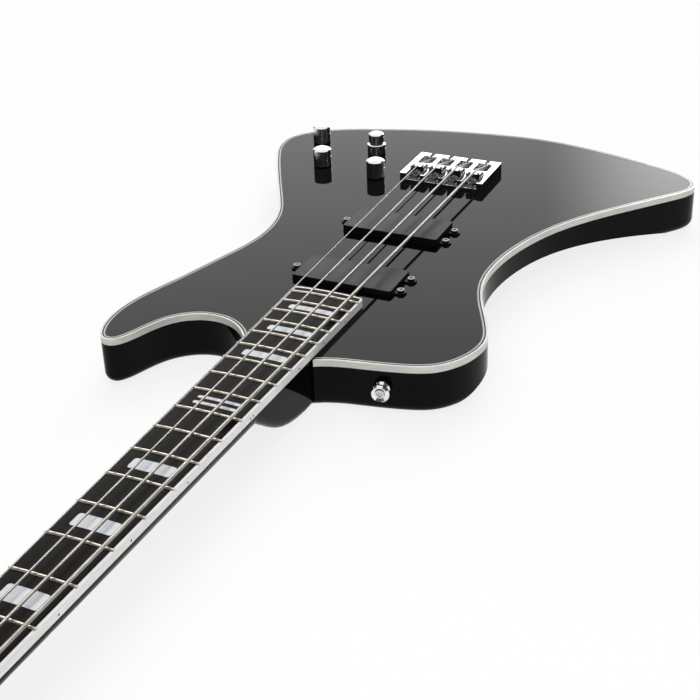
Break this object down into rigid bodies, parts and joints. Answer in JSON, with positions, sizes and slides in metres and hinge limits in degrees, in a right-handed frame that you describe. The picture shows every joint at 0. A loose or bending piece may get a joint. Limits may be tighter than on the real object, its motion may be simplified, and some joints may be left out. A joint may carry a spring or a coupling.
{
  "type": "electric bass guitar",
  "caption": "Neck-through electric bass guitar with an offset black body, pale edge binding, block inlays, twin pickups and turning controls, tuners and saddles.",
  "frame": {"origin": "on the back of the body, on its centre line, under the line of the saddles", "axes": "+X along the neck to the headstock, +Y to the bass side, +Z out of the face"},
  "size_m": [1.1778, 0.4203, 0.0645],
  "materials": {
    "black_lacquer": "gloss black lacquer",
    "fretboard_wood": "oiled dark wood",
    "ivory_binding": "gloss",
    "white_binding": "gloss",
    "purfling_line": "gloss",
    "fret_metal": "polished",
    "pearl": "pearl",
    "dark_plastic": "satin",
    "bone": "polished",
    "string_nickel": "round wound",
    "chrome": "polished",
    "screw_steel": "polished",
    "pickup_plastic": "satin",
    "coil": "wound wire",
    "lead_rubber": "matt",
    "battery_case": "satin",
    "circuit_board": "satin"
  },
  "bodies": {
    "instrument": {"bass_wing": "black_lacquer", "battery": "battery_case", "body_binding": "ivory_binding", "bridge_base": "chrome", "bridge_pickup_cover": "pickup_plastic", "bridge_screws": "screw_steel", "cavity_cover": "dark_plastic", "cover_screws": "screw_steel", "fretboard": "fretboard_wood", "fretboard_binding": "white_binding", "frets": "fret_metal", "inlays": "pearl", "neck_core": "black_lacquer", "neck_pickup_cover": "pickup_plastic", "nut": "bone", "output_jack": "chrome", "pickup_coils": "coil", "pickup_leads": "lead_rubber", "pickup_screws": "screw_steel", "pot_nuts": "screw_steel", "pots": "screw_steel", "preamp_board": "circuit_board", "purfling": "purfling_line", "side_dots": "dark_plastic", "strap_buttons": "chrome", "strap_screws": "screw_steel", "string_a": "string_nickel", "string_d": "string_nickel", "string_e": "string_nickel", "string_g": "string_nickel", "treble_horn": "black_lacquer", "treble_wing": "black_lacquer", "truss_rod": "screw_steel", "truss_rod_cover": "dark_plastic", "tuner_bushings": "chrome", "tuner_housings": "chrome", "tuner_screws": "screw_steel"},
    "key_e": {"tuner_key_e": "chrome"},
    "post_e": {"tuner_post_e": "chrome"},
    "saddle_e_carriage": {"saddle_e": "chrome"},
    "intonation_e": {"intonation_screw_e": "screw_steel"},
    "key_a": {"tuner_key_a": "chrome"},
    "post_a": {"tuner_post_a": "chrome"},
    "saddle_a_carriage": {"saddle_a": "chrome"},
    "intonation_a": {"intonation_screw_a": "screw_steel"},
    "key_d": {"tuner_key_d": "chrome"},
    "post_d": {"tuner_post_d": "chrome"},
    "saddle_d_carriage": {"saddle_d": "chrome"},
    "intonation_d": {"intonation_screw_d": "screw_steel"},
    "key_g": {"tuner_key_g": "chrome"},
    "post_g": {"tuner_post_g": "chrome"},
    "saddle_g_carriage": {"saddle_g": "chrome"},
    "intonation_g": {"intonation_screw_g": "screw_steel"},
    "volume": {"volume_knob": "chrome"},
    "blend": {"blend_knob": "chrome"},
    "mid": {"mid_knob": "chrome"},
    "bass": {"bass_knob": "chrome"},
    "treble": {"treble_knob": "chrome"},
    "truss_nut": {"truss_rod_nut": "screw_steel"}
  },
  "joints": [
    {"name": "key_e_turn", "type": "hinge", "parent": "instrument", "child": "key_e", "pos_m": [0.93931, 0.025, 0.01571], "axis": [0, 1, 0], "continuous": true},
    {"name": "post_e_turn", "type": "hinge", "parent": "instrument", "child": "post_e", "pos_m": [0.92845, 0.025, 0.03682], "axis": [0.0698, 0, 0.9976], "continuous": true},
    {"name": "saddle_e_slide", "type": "slide", "parent": "instrument", "child": "saddle_e_carriage", "axis": [1, 0, 0], "range_m": [0, 0.005]},
    {"name": "intonation_e_turn", "type": "hinge", "parent": "saddle_e_carriage", "child": "intonation_e", "pos_m": [0.007, 0.0285, 0.0469], "axis": [1, 0, 0], "range_deg": [0, 2572]},
    {"name": "key_a_turn", "type": "hinge", "parent": "instrument", "child": "key_a", "pos_m": [1.00315, 0.021, 0.01124], "axis": [0, 1, 0], "continuous": true},
    {"name": "post_a_turn", "type": "hinge", "parent": "instrument", "child": "post_a", "pos_m": [0.9923, 0.021, 0.03235], "axis": [0.0698, 0, 0.9976], "continuous": true},
    {"name": "saddle_a_slide", "type": "slide", "parent": "instrument", "child": "saddle_a_carriage", "axis": [1, 0, 0], "range_m": [0, 0.005]},
    {"name": "intonation_a_turn", "type": "hinge", "parent": "saddle_a_carriage", "child": "intonation_a", "pos_m": [0.007, 0.0095, 0.0469], "axis": [1, 0, 0], "range_deg": [0, 2572]},
    {"name": "key_d_turn", "type": "hinge", "parent": "instrument", "child": "key_d", "pos_m": [1.00315, -0.021, 0.01124], "axis": [0, 1, 0], "continuous": true},
    {"name": "post_d_turn", "type": "hinge", "parent": "instrument", "child": "post_d", "pos_m": [0.9923, -0.021, 0.03235], "axis": [0.0698, 0, 0.9976], "continuous": true},
    {"name": "saddle_d_slide", "type": "slide", "parent": "instrument", "child": "saddle_d_carriage", "axis": [1, 0, 0], "range_m": [0, 0.005]},
    {"name": "intonation_d_turn", "type": "hinge", "parent": "saddle_d_carriage", "child": "intonation_d", "pos_m": [0.007, -0.0095, 0.0469], "axis": [1, 0, 0], "range_deg": [0, 2572]},
    {"name": "key_g_turn", "type": "hinge", "parent": "instrument", "child": "key_g", "pos_m": [0.93931, -0.025, 0.01571], "axis": [0, 1, 0], "continuous": true},
    {"name": "post_g_turn", "type": "hinge", "parent": "instrument", "child": "post_g", "pos_m": [0.92845, -0.025, 0.03682], "axis": [0.0698, 0, 0.9976], "continuous": true},
    {"name": "saddle_g_slide", "type": "slide", "parent": "instrument", "child": "saddle_g_carriage", "axis": [1, 0, 0], "range_m": [0, 0.005]},
    {"name": "intonation_g_turn", "type": "hinge", "parent": "saddle_g_carriage", "child": "intonation_g", "pos_m": [0.007, -0.0285, 0.0469], "axis": [1, 0, 0], "range_deg": [0, 2572]},
    {"name": "volume_turn", "type": "hinge", "parent": "instrument", "child": "volume", "pos_m": [0.0157, -0.0682, 0.05], "axis": [0, 0, 1], "range_deg": [-150, 150]},
    {"name": "blend_turn", "type": "hinge", "parent": "instrument", "child": "blend", "pos_m": [0.0062, -0.1301, 0.05], "axis": [0, 0, 1], "range_deg": [-150, 150]},
    {"name": "mid_turn", "type": "hinge", "parent": "instrument", "child": "mid", "pos_m": [-0.051, -0.1584, 0.05], "axis": [0, 0, 1], "range_deg": [-150, 150]},
    {"name": "bass_turn", "type": "hinge", "parent": "instrument", "child": "bass", "pos_m": [-0.0413, -0.0923, 0.05], "axis": [0, 0, 1], "range_deg": [-150, 150]},
    {"name": "treble_turn", "type": "hinge", "parent": "instrument", "child": "treble", "pos_m": [-0.0413, -0.0923, 0.05], "axis": [0, 0, 1], "range_deg": [-150, 150]},
    {"name": "truss_nut_turn", "type": "hinge", "parent": "instrument", "child": "truss_nut", "pos_m": [0.8686, 0, 0.0355], "axis": [1, 0, 0], "range_deg": [-360, 360]}
  ],
  "couplings": [
    {"joint": "post_e_turn", "follows": "key_e_turn", "ratio": 0.05},
    {"joint": "intonation_e_turn", "follows": "saddle_e_slide", "rad_per_m": 8976},
    {"joint": "post_a_turn", "follows": "key_a_turn", "ratio": 0.05},
    {"joint": "intonation_a_turn", "follows": "saddle_a_slide", "rad_per_m": 8976},
    {"joint": "post_d_turn", "follows": "key_d_turn", "ratio": -0.05},
    {"joint": "intonation_d_turn", "follows": "saddle_d_slide", "rad_per_m": 8976},
    {"joint": "post_g_turn", "follows": "key_g_turn", "ratio": -0.05},
    {"joint": "intonation_g_turn", "follows": "saddle_g_slide", "rad_per_m": 8976}
  ]
}
